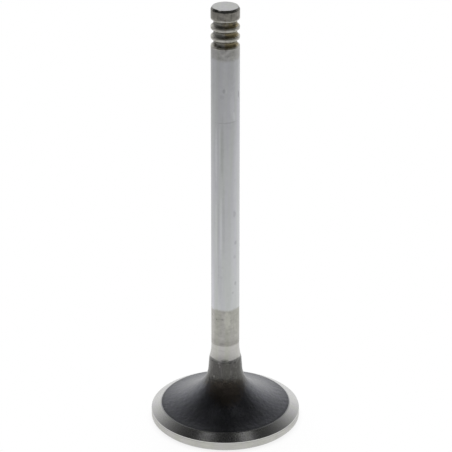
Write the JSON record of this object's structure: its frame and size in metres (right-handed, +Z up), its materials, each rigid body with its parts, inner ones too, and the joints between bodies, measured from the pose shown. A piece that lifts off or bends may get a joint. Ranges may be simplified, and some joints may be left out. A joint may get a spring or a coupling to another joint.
{
  "type": "engine valve",
  "caption": "Poppet valve for a piston engine: flat round head with a ground conical seat face, swept neck, long straight stem and rounded keeper grooves below the tip.",
  "frame": {"origin": "centre of the flat combustion face, on the valve's axis, at the bottom of the head", "axes": "+Z up the stem along the axis of revolution, from the combustion face to the tip; X and Y lie in the combustion face and are alike"},
  "size_m": [0.0373, 0.0372, 0.11],
  "materials": {
    "valve_steel": "chrome-plated stem, ground bare steel under it and at the seat and margin, black oxide neck fillet and back of the head"
  },
  "bodies": {
    "root": {"valve": "valve_steel"}
  },
  "joints": []
}
